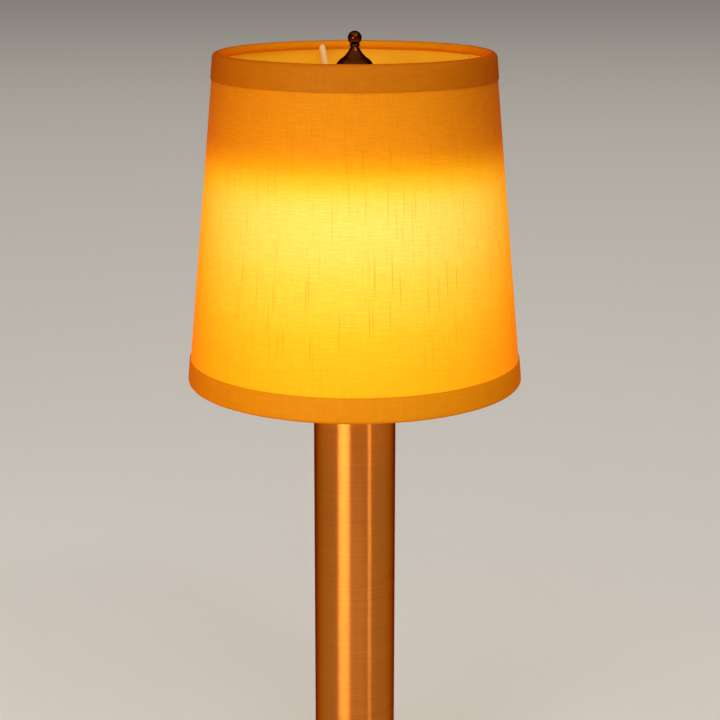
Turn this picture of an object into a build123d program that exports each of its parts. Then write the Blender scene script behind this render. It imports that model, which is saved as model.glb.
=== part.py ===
from build123d import *
import os
from math import atan2, cos, degrees, radians, sin, sqrt

os.makedirs("parts", exist_ok=True)

# A cordless table lamp: a brushed copper column on a round weighted foot, a small light head
# under a glare cap, a tapered fabric shade on a wire carrier, and a turned finial.
# Millimetres. The origin is the centre of the foot's underside. Z is up, and +Y is the rear,
# where the charging socket is.

# Driving sizes
base_diameter = 110
base_height = 14
column_diameter = 38
column_wall = 1.5
column_rise = 262
light_gap = 28.3
riser_length = 38.7
shade_height = 150
shade_top_diameter = 125
shade_bottom_diameter = 152.6
rim_over_hub = 10.5
finial_diameter = 19
finial_height = 19
rod_diameter = 6

# Gaps that several pieces share
running_gap = 0.08
glue_gap = 0.05
loose_gap = 0.2
overrun = 1

base_radius = base_diameter / 2
column_radius = column_diameter / 2
column_bore_radius = column_radius - column_wall
rod_radius = rod_diameter / 2

# Three screws hold each joint of the foot, one of them at the front
screw_count = 3
screw_start_angle = 30
half_turn = 180


def countersunk_screw(shank, head, head_height, length, gap=0):
    """A countersunk screw that points up from zero or, with a gap, the hole that it sits in."""
    with BuildPart() as blank:
        with BuildSketch(Plane.XZ):
            with BuildLine():
                Polyline(
                    (0, 0),
                    (head / 2 + gap, 0),
                    (shank / 2 + gap, head_height),
                    (shank / 2 + gap, length + gap),
                    (0, length + gap),
                    close=True,
                )
            make_face()
        revolve(axis=Axis.Z)
    return blank.part


def cheese_head_screw(shank, head, head_height, length):
    """A flat-headed screw that points up from zero."""
    with BuildPart() as blank:
        with BuildSketch(Plane.XZ):
            with BuildLine():
                Polyline(
                    (0, 0),
                    (head / 2, 0),
                    (head / 2, head_height),
                    (shank / 2, head_height),
                    (shank / 2, length),
                    (0, length),
                    close=True,
                )
            make_face()
        revolve(axis=Axis.Z)
    return blank.part


def screw_ring(blank, circle, level):
    """Like screws, or their holes, in a ring about the column's axis."""
    with BuildPart(Plane.XY.offset(level)) as ring:
        with PolarLocations(circle, screw_count, screw_start_angle):
            add(blank)
    return ring.part


# Foot pad: a ring of silicone rubber under the foot, open in the middle for a fingertip
foot_pad_thickness = 2
foot_pad_inset = 5
foot_pad_rounding = 0.5
button_recess_diameter = 20

with BuildPart() as foot_pad:
    with BuildSketch():
        Circle(base_radius - foot_pad_inset)
        Circle(button_recess_diameter / 2, mode=Mode.SUBTRACT)
    extrude(amount=foot_pad_thickness)
    fillet(foot_pad.edges().group_by(Axis.Z)[0], foot_pad_rounding)
foot_pad.part.label = "foot_pad"
export_step(foot_pad.part, "parts/foot_pad.step")

# Base plate: a steel disc that closes the foot from below
plate_thickness = 1.5
plate_edge_gap = 0.4
cover_wall = 1.2
button_diameter = 12
plate_screw_diameter = 3
plate_screw_head = 6
plate_screw_length = 8
column_reach = 10

plate_bottom = foot_pad_thickness
plate_top = plate_bottom + plate_thickness
cover_inner_radius = base_radius - cover_wall
flange_radius = column_radius + column_reach
plate_screw_circle = (flange_radius + cover_inner_radius) / 2

plate_screw = countersunk_screw(
    plate_screw_diameter, plate_screw_head, plate_thickness, plate_screw_length
)
plate_screw_hole = countersunk_screw(
    plate_screw_diameter, plate_screw_head, plate_thickness, plate_screw_length, glue_gap
)

with BuildPart() as base_plate:
    with BuildSketch(Plane.XY.offset(plate_bottom)):
        Circle(cover_inner_radius - plate_edge_gap)
        Circle(button_diameter / 2 + running_gap, mode=Mode.SUBTRACT)
    extrude(amount=plate_thickness)
    add(screw_ring(plate_screw_hole, plate_screw_circle, plate_bottom), mode=Mode.SUBTRACT)
base_plate.part.label = "base_plate"
export_step(base_plate.part, "parts/base_plate.step")

# Base plate screws: countersunk, hidden by the foot pad
with BuildPart() as base_plate_screws:
    add(screw_ring(plate_screw, plate_screw_circle, plate_bottom))
base_plate_screws.part.label = "base_plate_screws"
export_step(base_plate_screws.part, "parts/base_plate_screws.step")

# Charging socket: a drawn steel shell with its contact tongue, on the rear edge of the foot
socket_width = 8.9
socket_thickness = 3.2
socket_depth = 7.3
socket_wall = 0.3
socket_setback = 1
socket_back = 1.2
tongue_width = 6.7
tongue_thickness = 0.7
tongue_setback = 1

# The charging board hangs under two bosses of the cast weight
charge_board_width = 13
charge_board_length = 14
charge_board_thickness = 1
charge_board_lift = 1.2
board_screw_diameter = 2
board_screw_head = 3.4
board_screw_head_height = 0.9
charge_screw_length = 4
charge_screw_spread = 9
charge_screw_inset = 2.2

charge_board_bottom = plate_top + charge_board_lift
charge_board_top = charge_board_bottom + charge_board_thickness
socket_level = charge_board_top + socket_thickness / 2
socket_face = base_radius - socket_setback
charge_board_rear = socket_face - socket_setback
charge_board_front = charge_board_rear - charge_board_length
charge_screw_row = charge_board_front + charge_screw_inset

with BuildPart() as charge_board:
    with BuildSketch(Plane.XY.offset(charge_board_bottom)):
        with Locations((0, (charge_board_front + charge_board_rear) / 2)):
            Rectangle(charge_board_width, charge_board_length)
        with Locations((0, charge_screw_row)):
            with GridLocations(charge_screw_spread, 0, 2, 1):
                Circle(board_screw_diameter / 2 + glue_gap, mode=Mode.SUBTRACT)
    extrude(amount=charge_board_thickness)
charge_board.part.label = "charge_board"
export_step(charge_board.part, "parts/charge_board.step")

with BuildPart() as charge_socket:
    with BuildSketch(Plane.XZ.offset(-socket_face)):
        with Locations((0, socket_level)):
            SlotOverall(socket_width, socket_thickness)
    extrude(amount=socket_depth)
    with BuildSketch(Plane.XZ.offset(-socket_face)):
        with Locations((0, socket_level)):
            SlotOverall(socket_width - 2 * socket_wall, socket_thickness - 2 * socket_wall)
    extrude(amount=socket_depth - socket_back, mode=Mode.SUBTRACT)
    with BuildSketch(Plane.XZ.offset(-socket_face + tongue_setback)):
        with Locations((0, socket_level)):
            Rectangle(tongue_width, tongue_thickness)
    extrude(amount=socket_depth - tongue_setback - socket_back / 2)
charge_socket.part.label = "charge_socket"
export_step(charge_socket.part, "parts/charge_socket.step")

with BuildPart(Plane.XY.offset(charge_board_bottom - board_screw_head_height)) as charge_board_screws:
    with Locations((0, charge_screw_row)):
        with GridLocations(charge_screw_spread, 0, 2, 1):
            add(cheese_head_screw(
                board_screw_diameter, board_screw_head, board_screw_head_height, charge_screw_length
            ))
charge_board_screws.part.label = "charge_board_screws"
export_step(charge_board_screws.part, "parts/charge_board_screws.step")

# Base weight: an iron casting with a pocket for the column's flange, one for the charging
# board and a channel for its leads between them
flange_thickness = 3.5
column_screw_diameter = 4
column_screw_head = 8
column_screw_head_height = 2.2
column_screw_length = 8
cover_rounding = 3
pocket_width = 16
pocket_roof = 1.6
boss_diameter = 3.8
channel_width = 4.5
channel_height = 2.6

weight_top = base_height - cover_wall
weight_radius = cover_inner_radius - glue_gap
flange_top = plate_top + flange_thickness
column_screw_circle = (column_radius + flange_radius) / 2
pocket_front = charge_board_front - loose_gap
pocket_top = weight_top - pocket_roof
channel_front = flange_radius - channel_width

column_screw = countersunk_screw(
    column_screw_diameter, column_screw_head, column_screw_head_height, column_screw_length
)
column_screw_hole = countersunk_screw(
    column_screw_diameter,
    column_screw_head,
    column_screw_head_height,
    column_screw_length,
    glue_gap,
)

with BuildPart() as base_weight:
    with BuildSketch(Plane.XY.offset(plate_top)):
        Circle(weight_radius)
    extrude(amount=weight_top - plate_top)
    fillet(base_weight.edges().group_by(Axis.Z)[-1], cover_rounding)
    with BuildSketch(Plane.XY.offset(plate_top)):
        Circle(flange_radius + loose_gap)
    extrude(amount=flange_thickness, mode=Mode.SUBTRACT)
    with BuildSketch(Plane.XY.offset(plate_top)):
        Circle(column_radius + loose_gap)
    extrude(amount=weight_top - plate_top, mode=Mode.SUBTRACT)
    with BuildSketch(Plane.XY.offset(plate_top)):
        with Locations((0, (pocket_front + base_radius) / 2)):
            Rectangle(pocket_width, base_radius - pocket_front)
    extrude(amount=pocket_top - plate_top, mode=Mode.SUBTRACT)
    with BuildSketch(Plane.XY.offset(plate_top)):
        with Locations((0, (channel_front + pocket_front) / 2)):
            Rectangle(channel_width, pocket_front - channel_front)
    extrude(amount=channel_height, mode=Mode.SUBTRACT)
    with BuildSketch(Plane.XY.offset(charge_board_top)):
        with Locations((0, charge_screw_row)):
            with GridLocations(charge_screw_spread, 0, 2, 1):
                Circle(boss_diameter / 2)
                Circle(board_screw_diameter / 2 + glue_gap, mode=Mode.SUBTRACT)
    extrude(amount=pocket_top - charge_board_top)
    add(screw_ring(column_screw_hole, column_screw_circle, plate_top), mode=Mode.SUBTRACT)
    add(screw_ring(plate_screw_hole, plate_screw_circle, plate_bottom), mode=Mode.SUBTRACT)
base_weight.part.label = "base_weight"
export_step(base_weight.part, "parts/base_weight.step")

# Base cover: a spun copper shell over the weight, with a slot for the socket's mouth
cover_lift = 1.4
slot_gap = 0.3

with BuildPart() as base_cover:
    with BuildSketch(Plane.XY.offset(cover_lift)):
        Circle(base_radius)
    extrude(amount=base_height - cover_lift)
    fillet(base_cover.edges().group_by(Axis.Z)[-1], cover_rounding)
    with BuildSketch(Plane.XY.offset(cover_lift)):
        Circle(cover_inner_radius)
    extrude(amount=weight_top - cover_lift, mode=Mode.SUBTRACT)
    inner_rim = base_cover.edges().filter_by(GeomType.CIRCLE).filter_by_position(
        Axis.Z, weight_top - glue_gap, weight_top + glue_gap
    )
    fillet(inner_rim, cover_rounding - cover_wall)
    with BuildSketch(Plane.XY.offset(base_height)):
        Circle(column_radius + glue_gap)
    extrude(amount=-base_height, mode=Mode.SUBTRACT)
    with BuildSketch(Plane.XZ.offset(-base_radius)):
        with Locations((0, socket_level)):
            SlotOverall(socket_width + 2 * slot_gap, socket_thickness + 2 * slot_gap)
    extrude(amount=cover_wall + socket_setback, mode=Mode.SUBTRACT)
base_cover.part.label = "base_cover"
export_step(base_cover.part, "parts/base_cover.step")

# Column flange: a turned aluminium plug in the column's end, flanged against the weight.
# Its bore is the bay of the control board, and a slot in its top lets the leads out.
plug_length = 17.5
bay_wall = 3.4
bay_depth = 9.5
bay_shoulder = 5
lead_slot_width = 14
lead_slot_depth = 3

plug_radius = column_bore_radius - glue_gap
plug_top = flange_top + plug_length
bay_radius = plug_radius - bay_wall
bay_top = plate_top + bay_depth
bay_neck_radius = bay_radius - bay_shoulder
board_screw_circle = (bay_radius + bay_neck_radius) / 2
control_screw_length = 5

# The cradle of the battery stands on the plug, held by two countersunk screws
cradle_floor = 2
cradle_screw_diameter = 2.5
cradle_screw_head = 4.6
cradle_screw_head_height = 1.2
cradle_screw_length = 8

stack_bottom = plug_top + cradle_floor
cradle_screw_row = (bay_neck_radius + plug_radius) / 2
cradle_screw = countersunk_screw(
    cradle_screw_diameter, cradle_screw_head, cradle_screw_head_height, cradle_screw_length
)
cradle_screw_hole = countersunk_screw(
    cradle_screw_diameter,
    cradle_screw_head,
    cradle_screw_head_height,
    cradle_screw_length,
    glue_gap,
)
cradle_screw_plane = Plane(origin=(0, 0, stack_bottom), x_dir=(1, 0, 0), z_dir=(0, 0, -1))

with BuildPart(cradle_screw_plane) as cradle_screws:
    with GridLocations(2 * cradle_screw_row, 0, 2, 1):
        add(cradle_screw)
cradle_screws.part.label = "cradle_screws"
export_step(cradle_screws.part, "parts/cradle_screws.step")

with BuildPart(cradle_screw_plane) as cradle_screw_holes:
    with GridLocations(2 * cradle_screw_row, 0, 2, 1):
        add(cradle_screw_hole)

with BuildPart() as column_flange:
    with BuildSketch(Plane.XY.offset(plate_top)):
        Circle(flange_radius)
    extrude(amount=flange_thickness)
    with BuildSketch(Plane.XY.offset(flange_top)):
        Circle(plug_radius)
    extrude(amount=plug_length)
    with BuildSketch(Plane.XY.offset(plate_top)):
        Circle(bay_radius)
    extrude(amount=bay_depth, mode=Mode.SUBTRACT)
    with BuildSketch(Plane.XY.offset(plate_top)):
        Circle(bay_neck_radius)
    extrude(amount=plug_top - plate_top, mode=Mode.SUBTRACT)
    with BuildSketch(Plane.XY.offset(plate_top)):
        with Locations((0, flange_radius / 2 + bay_neck_radius / 2)):
            Rectangle(channel_width, flange_radius - bay_neck_radius + overrun)
    extrude(amount=channel_height, mode=Mode.SUBTRACT)
    with BuildSketch(Plane.XY.offset(plug_top)):
        with Locations((0, plug_radius / 2)):
            Rectangle(lead_slot_width, plug_radius + overrun)
    extrude(amount=-lead_slot_depth, mode=Mode.SUBTRACT)
    with BuildSketch(Plane.XY.offset(bay_top)):
        with PolarLocations(board_screw_circle, screw_count, screw_start_angle):
            Circle(board_screw_diameter / 2 + glue_gap)
    extrude(amount=control_screw_length, mode=Mode.SUBTRACT)
    add(screw_ring(column_screw_hole, column_screw_circle, plate_top), mode=Mode.SUBTRACT)
    add(cradle_screw_holes.part, mode=Mode.SUBTRACT)
column_flange.part.label = "column_flange"
export_step(column_flange.part, "parts/column_flange.step")

# Column screws: they pull the flange up against the weight
with BuildPart() as column_screws:
    add(screw_ring(column_screw, column_screw_circle, plate_top))
column_screws.part.label = "column_screws"
export_step(column_screws.part, "parts/column_screws.step")

# Control board: a round board against the shoulder of the flange's bay
control_board_thickness = 1.6
chip_spacing = 7

control_board_bottom = bay_top - control_board_thickness

with BuildPart() as control_board:
    with BuildSketch(Plane.XY.offset(control_board_bottom)):
        Circle(bay_radius - loose_gap)
        with PolarLocations(board_screw_circle, screw_count, screw_start_angle):
            Circle(board_screw_diameter / 2 + glue_gap, mode=Mode.SUBTRACT)
    extrude(amount=control_board_thickness)
control_board.part.label = "control_board"
export_step(control_board.part, "parts/control_board.step")

# Chips and coil on the control board: width, depth, height and place of each
chip_side = 4
chip_height = 0.9
coil_side = 5
coil_height = 3
capacitor_width = 2
capacitor_depth = 1.25
capacitor_height = 1.1

with BuildPart(Plane.XY.offset(bay_top)) as control_chips:
    with Locations((-chip_spacing / 2, -chip_spacing / 2)):
        Box(chip_side, chip_side, chip_height, align=(Align.CENTER, Align.CENTER, Align.MIN))
    with Locations((chip_spacing / 2, -chip_spacing / 2)):
        Box(coil_side, coil_side, coil_height, align=(Align.CENTER, Align.CENTER, Align.MIN))
    with Locations((0, chip_side / 4)):
        with GridLocations(chip_spacing / 2, 0, 3, 1):
            Box(
                capacitor_depth,
                capacitor_width,
                capacitor_height,
                align=(Align.CENTER, Align.CENTER, Align.MIN),
            )
control_chips.part.label = "control_chips"
export_step(control_chips.part, "parts/control_chips.step")

control_screw = cheese_head_screw(
    board_screw_diameter,
    board_screw_head,
    board_screw_head_height,
    board_screw_head_height + control_board_thickness + control_screw_length - glue_gap,
)

with BuildPart() as control_board_screws:
    add(screw_ring(
        control_screw, board_screw_circle, control_board_bottom - board_screw_head_height
    ))
control_board_screws.part.label = "control_board_screws"
export_step(control_board_screws.part, "parts/control_board_screws.step")

# Power button: a cap in the base plate's hole, held in by its flange. Its plunger works the
# push switch under the control board.
button_travel = 1.2
button_setback = 0.9
button_flange_width = 1.4
button_flange_thickness = 0.9
button_flange_lift = 0.1
button_stem_diameter = 5
button_rounding = 0.6
plunger_diameter = 3.5
plunger_rest_depth = 1
switch_side = 6
switch_height = 3.4

button_flange_bottom = plate_top + button_flange_lift
button_flange_top = button_flange_bottom + button_flange_thickness
switch_bottom = control_board_bottom - switch_height
button_stem_top = switch_bottom - button_travel - loose_gap

with BuildPart() as power_button:
    with BuildSketch(Plane.XY.offset(button_setback)):
        Circle(button_diameter / 2)
    extrude(amount=button_flange_bottom - button_setback)
    fillet(power_button.edges().group_by(Axis.Z)[0], button_rounding)
    with BuildSketch(Plane.XY.offset(button_flange_bottom)):
        Circle(button_diameter / 2 + button_flange_width)
    extrude(amount=button_flange_thickness)
    with BuildSketch(Plane.XY.offset(button_flange_top)):
        Circle(button_stem_diameter / 2)
    extrude(amount=button_stem_top - button_flange_top)
power_button.part.label = "power_button"
export_step(power_button.part, "parts/power_button.step")

with BuildPart() as switch_plunger:
    with BuildSketch(Plane.XY.offset(button_stem_top)):
        Circle(plunger_diameter / 2)
    extrude(amount=switch_bottom + plunger_rest_depth - button_stem_top)
switch_plunger.part.label = "switch_plunger"
export_step(switch_plunger.part, "parts/switch_plunger.step")

with BuildPart() as button_switch:
    with BuildSketch(Plane.XY.offset(switch_bottom)):
        Rectangle(switch_side, switch_side)
    extrude(amount=switch_height)
    with BuildSketch(Plane.XY.offset(switch_bottom)):
        Circle(plunger_diameter / 2 + running_gap)
    extrude(amount=plunger_rest_depth + button_travel + loose_gap, mode=Mode.SUBTRACT)
button_switch.part.label = "button_switch"
export_step(button_switch.part, "parts/button_switch.step")

# Body tube: the brushed copper column, from the flange to the light head
column_top = base_height + column_rise
tube_mouth_chamfer = 0.3

with BuildPart() as body_tube:
    with BuildSketch(Plane.XY.offset(flange_top)):
        Circle(column_radius)
        Circle(column_bore_radius, mode=Mode.SUBTRACT)
    extrude(amount=column_top - flange_top)
    chamfer(body_tube.edges().group_by(Axis.Z)[-1].sort_by(SortBy.RADIUS)[-1], tube_mouth_chamfer)
body_tube.part.label = "body_tube"
export_step(body_tube.part, "parts/body_tube.step")

# Battery cradle: a moulded trough for two cells in line, open at the rear for the leads
cell_length = 65.5
cell_count = 2
cradle_wall = 4
tab_thickness = 0.3
pad_thickness = 3
lead_diameter = 1.2
lead_margin = 2.6

cradle_radius = column_bore_radius - loose_gap
trough_radius = cradle_radius - cradle_wall
cell_radius = trough_radius - loose_gap
cell_pitch = cell_length + tab_thickness
stack_top = stack_bottom + cell_count * cell_pitch + tab_thickness
trough_top = stack_top + pad_thickness
cradle_top = trough_top + cradle_floor
lead_row = column_bore_radius - lead_margin
notch_front = lead_row - lead_diameter

with BuildPart() as battery_cradle:
    with BuildSketch(Plane.XY.offset(plug_top)):
        Circle(cradle_radius)
    extrude(amount=cradle_top - plug_top)
    with BuildSketch(Plane.XY.offset(stack_bottom)):
        Circle(trough_radius)
        with Locations((0, cradle_radius / 2)):
            Rectangle(2 * trough_radius, cradle_radius)
    extrude(amount=trough_top - stack_bottom, mode=Mode.SUBTRACT)
    with BuildSketch(Plane.XY.offset(plug_top)):
        with Locations((0, (notch_front + column_radius) / 2)):
            Rectangle(lead_slot_width, column_radius - notch_front)
    extrude(amount=cradle_top - plug_top, mode=Mode.SUBTRACT)
    add(cradle_screw_holes.part, mode=Mode.SUBTRACT)
battery_cradle.part.label = "battery_cradle"
export_step(battery_cradle.part, "parts/battery_cradle.step")

# Cells: steel cans with rounded edges and a raised contact on the upper end
cell_rounding = 1
cell_step = 0.6
cell_contact_diameter = 9


def cell(bottom):
    """One cell that stands on its flat end."""
    with BuildPart() as can:
        with BuildSketch(Plane.XY.offset(bottom)):
            Circle(cell_radius)
        extrude(amount=cell_length - cell_step)
        fillet(can.edges().filter_by(GeomType.CIRCLE), cell_rounding)
        with BuildSketch(Plane.XY.offset(bottom + cell_length - cell_step)):
            Circle(cell_contact_diameter / 2)
        extrude(amount=cell_step)
    return can.part


with BuildPart() as battery_lower:
    add(cell(stack_bottom + tab_thickness))
battery_lower.part.label = "battery_lower"
export_step(battery_lower.part, "parts/battery_lower.step")

with BuildPart() as battery_upper:
    add(cell(stack_bottom + tab_thickness + cell_pitch))
battery_upper.part.label = "battery_upper"
export_step(battery_upper.part, "parts/battery_upper.step")

# Battery tabs: nickel strips under, between and over the cells. The outer two have an ear at
# the rear, one each side, where a lead is soldered.
tab_radius_share = 0.6
ear_width = 4
ear_offset = 5

ear_side = {0: -1, cell_count: 1}

with BuildPart() as battery_tabs:
    for step in range(cell_count + 1):
        with BuildSketch(Plane.XY.offset(stack_bottom + step * cell_pitch)):
            Circle(cell_radius * tab_radius_share)
            if step in ear_side:
                with Locations((ear_side[step] * ear_offset, lead_row / 2)):
                    Rectangle(ear_width, lead_row)
        extrude(amount=tab_thickness)
battery_tabs.part.label = "battery_tabs"
export_step(battery_tabs.part, "parts/battery_tabs.step")

# Battery pad: foam that presses the stack down
with BuildPart() as battery_pad:
    with BuildSketch(Plane.XY.offset(stack_top)):
        Circle(cell_radius)
    extrude(amount=pad_thickness)
battery_pad.part.label = "battery_pad"
export_step(battery_pad.part, "parts/battery_pad.step")

# Light cover: a frosted sleeve held in a groove of the column's head and one of the glare cap
cover_setback = 0.5
light_cover_wall = 1.5
groove_depth = 1

light_cover_radius = column_radius - cover_setback
light_cover_bore = light_cover_radius - light_cover_wall
head_rim_thickness = 3
head_rim_top = column_top + head_rim_thickness
cap_bottom = head_rim_top + light_gap

with BuildPart() as led_cover:
    with BuildSketch(Plane.XY.offset(head_rim_top - groove_depth)):
        Circle(light_cover_radius)
        Circle(light_cover_bore, mode=Mode.SUBTRACT)
    extrude(amount=light_gap + 2 * groove_depth)
led_cover.part.label = "led_cover"
export_step(led_cover.part, "parts/led_cover.step")


def cover_groove(level):
    """The ring that the light cover's edge sits in."""
    with BuildPart() as groove:
        with BuildSketch(Plane.XY.offset(level)):
            Circle(light_cover_radius + glue_gap)
            Circle(light_cover_bore - glue_gap, mode=Mode.SUBTRACT)
        extrude(amount=groove_depth)
    return groove.part


# Head plug: a turned collar pressed into the column's mouth, with a rim as wide as the column
head_plug_depth = 12
head_rim_chamfer = 0.4
lead_hole_diameter = 2

head_plug_bottom = column_top - head_plug_depth
head_lead_spread = lead_diameter + lead_hole_diameter

with BuildPart() as head_plug:
    with BuildSketch(Plane.XY.offset(head_plug_bottom)):
        Circle(plug_radius)
    extrude(amount=head_plug_depth)
    with BuildSketch(Plane.XY.offset(column_top)):
        Circle(column_radius)
    extrude(amount=head_rim_thickness)
    chamfer(head_plug.edges().group_by(Axis.Z)[-1], head_rim_chamfer)
    with BuildSketch(Plane.XY.offset(head_plug_bottom)):
        Circle(rod_radius + glue_gap)
        with Locations((0, lead_row)):
            with GridLocations(head_lead_spread, 0, 2, 1):
                Circle(lead_hole_diameter / 2)
    extrude(amount=head_rim_top - head_plug_bottom, mode=Mode.SUBTRACT)
    add(cover_groove(head_rim_top - groove_depth), mode=Mode.SUBTRACT)
head_plug.part.label = "head_plug"
export_step(head_plug.part, "parts/head_plug.step")

# Glare cap: an opaque disc over the light, chamfered like the column's rim
cap_thickness = 4
cap_chamfer = 0.8

cap_top = cap_bottom + cap_thickness

with BuildPart() as head_cap:
    with BuildSketch(Plane.XY.offset(cap_bottom)):
        Circle(column_radius)
        Circle(rod_radius + glue_gap, mode=Mode.SUBTRACT)
    extrude(amount=cap_thickness)
    chamfer(head_cap.edges().group_by(Axis.Z)[-1].sort_by(SortBy.RADIUS)[-1], cap_chamfer)
    add(cover_groove(cap_bottom), mode=Mode.SUBTRACT)
head_cap.part.label = "head_cap"
export_step(head_cap.part, "parts/head_cap.step")

# Light post: an aluminium octagon between rim and cap that carries the light strip
post_flats = 17
post_sides = 8
strip_thickness = 0.3
strip_height = 13
chip_thickness = 0.7
chip_width = 2.8
chip_length = 3.5
light_level_share = 0.81

post_radius = post_flats / 2
post_turn = half_turn / post_sides
strip_radius = post_radius + glue_gap + strip_thickness
light_level = head_rim_top + light_level_share * light_gap
strip_top = light_level + chip_length
strip_bottom = strip_top - strip_height

with BuildPart() as led_post:
    with BuildSketch(Plane.XY.offset(head_rim_top)):
        RegularPolygon(post_radius, post_sides, major_radius=False, rotation=post_turn)
        Circle(rod_radius + glue_gap, mode=Mode.SUBTRACT)
    extrude(amount=light_gap)
led_post.part.label = "led_post"
export_step(led_post.part, "parts/led_post.step")

with BuildPart() as led_flex:
    with BuildSketch(Plane.XY.offset(strip_bottom)):
        RegularPolygon(strip_radius, post_sides, major_radius=False, rotation=post_turn)
        RegularPolygon(
            post_radius + glue_gap,
            post_sides,
            major_radius=False,
            rotation=post_turn,
            mode=Mode.SUBTRACT,
        )
    extrude(amount=strip_height)
led_flex.part.label = "led_flex"
export_step(led_flex.part, "parts/led_flex.step")

with BuildPart(Plane.XY.offset(light_level)) as led_chips:
    with PolarLocations(strip_radius, post_sides):
        Box(chip_thickness, chip_width, chip_length, align=(Align.MIN, Align.CENTER, Align.CENTER))
led_chips.part.label = "led_chips"
export_step(led_chips.part, "parts/led_chips.step")

# Centre rod: threaded steel, from under the head plug up into the finial. Two nuts clamp the
# plug, the post and the glare cap on it.
nut_flats = 10
nut_thickness = 5
nut_sides = 6
nut_chamfer = 0.5
rod_tail = 3
finial_bore_depth = 6.5
rod_end_gap = 0.7
seat_thickness = 3
washer_thickness = 1
hub_thickness = 1.5
finial_washer_thickness = 0.5

cap_nut_top = cap_top + nut_thickness
seat_bottom = cap_nut_top + riser_length
seat_top = seat_bottom + seat_thickness
hub_bottom = seat_top + washer_thickness
hub_top = hub_bottom + hub_thickness
finial_bottom = hub_top + finial_washer_thickness
head_nut_bottom = head_plug_bottom - nut_thickness
rod_bottom = head_nut_bottom - rod_tail
rod_top = finial_bottom + finial_bore_depth - rod_end_gap

with BuildPart() as centre_rod:
    with BuildSketch(Plane.XY.offset(rod_bottom)):
        Circle(rod_radius)
    extrude(amount=rod_top - rod_bottom)
    chamfer(centre_rod.edges().filter_by(GeomType.CIRCLE), nut_chamfer)
centre_rod.part.label = "centre_rod"
export_step(centre_rod.part, "parts/centre_rod.step")


def nut(bottom):
    """A hexagon nut on the rod, its corners turned off at both ends."""
    corner_radius = nut_flats / 2 / cos(radians(half_turn / nut_sides))
    top = bottom + nut_thickness
    with BuildPart() as body:
        with BuildSketch(Plane.XY.offset(bottom)):
            RegularPolygon(nut_flats / 2, nut_sides, major_radius=False)
        extrude(amount=nut_thickness)
        with BuildSketch(Plane.XZ):
            with BuildLine():
                Polyline(
                    (rod_radius + glue_gap, bottom),
                    (nut_flats / 2, bottom),
                    (corner_radius, bottom + nut_chamfer),
                    (corner_radius, top - nut_chamfer),
                    (nut_flats / 2, top),
                    (rod_radius + glue_gap, top),
                    close=True,
                )
            make_face()
        revolve(axis=Axis.Z, mode=Mode.INTERSECT)
    return body.part


with BuildPart() as head_nut:
    add(nut(head_nut_bottom))
head_nut.part.label = "head_nut"
export_step(head_nut.part, "parts/head_nut.step")

with BuildPart() as cap_nut:
    add(nut(cap_top))
cap_nut.part.label = "cap_nut"
export_step(cap_nut.part, "parts/cap_nut.step")

# Riser: a copper sleeve over the rod, from the cap nut to the shade's seat
riser_diameter = 9

with BuildPart() as riser_tube:
    with BuildSketch(Plane.XY.offset(cap_nut_top)):
        Circle(riser_diameter / 2)
        Circle(rod_radius + loose_gap, mode=Mode.SUBTRACT)
    extrude(amount=riser_length)
riser_tube.part.label = "riser_tube"
export_step(riser_tube.part, "parts/riser_tube.step")

# Shade seat: a turned collar screwed on the rod, chamfered underneath
seat_radius = finial_diameter / 2
seat_chamfer_share = 0.6

with BuildPart() as shade_seat:
    with BuildSketch(Plane.XY.offset(seat_bottom)):
        Circle(seat_radius)
        Circle(rod_radius + glue_gap, mode=Mode.SUBTRACT)
    extrude(amount=seat_thickness)
    chamfer(
        shade_seat.edges().group_by(Axis.Z)[0].sort_by(SortBy.RADIUS)[-1],
        seat_chamfer_share * seat_thickness,
    )
shade_seat.part.label = "shade_seat"
export_step(shade_seat.part, "parts/shade_seat.step")

# Shade washer: nylon, between the seat and the shade's hub
with BuildPart() as shade_washer:
    with BuildSketch(Plane.XY.offset(seat_top)):
        Circle(seat_radius)
        Circle(rod_radius + loose_gap, mode=Mode.SUBTRACT)
    extrude(amount=washer_thickness)
shade_washer.part.label = "shade_washer"
export_step(shade_washer.part, "parts/shade_washer.step")

# Leads: red and black, for the charging board, the battery and the light. Each is a run of
# straight stretches joined by arcs, soldered flat against its board or tab.
lead_bend = 1.8
charge_lead_spread = 2.4
board_lead_row = 6
light_lead_drop = 1.5

slot_level = plug_top - lead_slot_depth / 2
charge_lead_level = charge_board_bottom + charge_board_thickness / 2
charge_lead_rise = bay_neck_radius + lead_diameter
light_lead_level = strip_bottom + light_lead_drop


def lead(points):
    """A round lead along a route with arcs at its corners."""
    with BuildPart() as wire:
        with BuildLine() as route:
            FilletPolyline(*points, radius=lead_bend)
        with BuildSketch(Plane(origin=route.line @ 0, z_dir=route.line % 0)):
            Circle(lead_diameter / 2)
        sweep()
    return wire.part


def charge_lead(side):
    """From the charging board's front edge up to the underside of the control board."""
    across = side * charge_lead_spread / 2
    return lead([
        (across, charge_board_front, charge_lead_level),
        (across, charge_lead_rise, charge_lead_level),
        (across, charge_lead_rise, control_board_bottom),
    ])


def battery_lead(side, level):
    """From an ear of the battery's tabs down to the control board."""
    across = side * ear_offset
    return lead([
        (across, lead_row - lead_diameter / 2, level),
        (across, lead_row - lead_diameter / 2, slot_level),
        (across, board_lead_row, slot_level),
        (across, board_lead_row, bay_top),
    ])


def light_lead(side):
    """From the control board up the column's rear and in to the light strip."""
    across = side * head_lead_spread / 2
    return lead([
        (across, board_lead_row, bay_top),
        (across, board_lead_row, slot_level),
        (across, lead_row, slot_level),
        (across, lead_row, light_lead_level),
        (across, strip_radius, light_lead_level),
    ])


with BuildPart() as red_leads:
    add(charge_lead(1))
    add(battery_lead(1, stack_top - tab_thickness))
    add(light_lead(1))
red_leads.part.label = "red_leads"
export_step(red_leads.part, "parts/red_leads.step")

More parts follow.
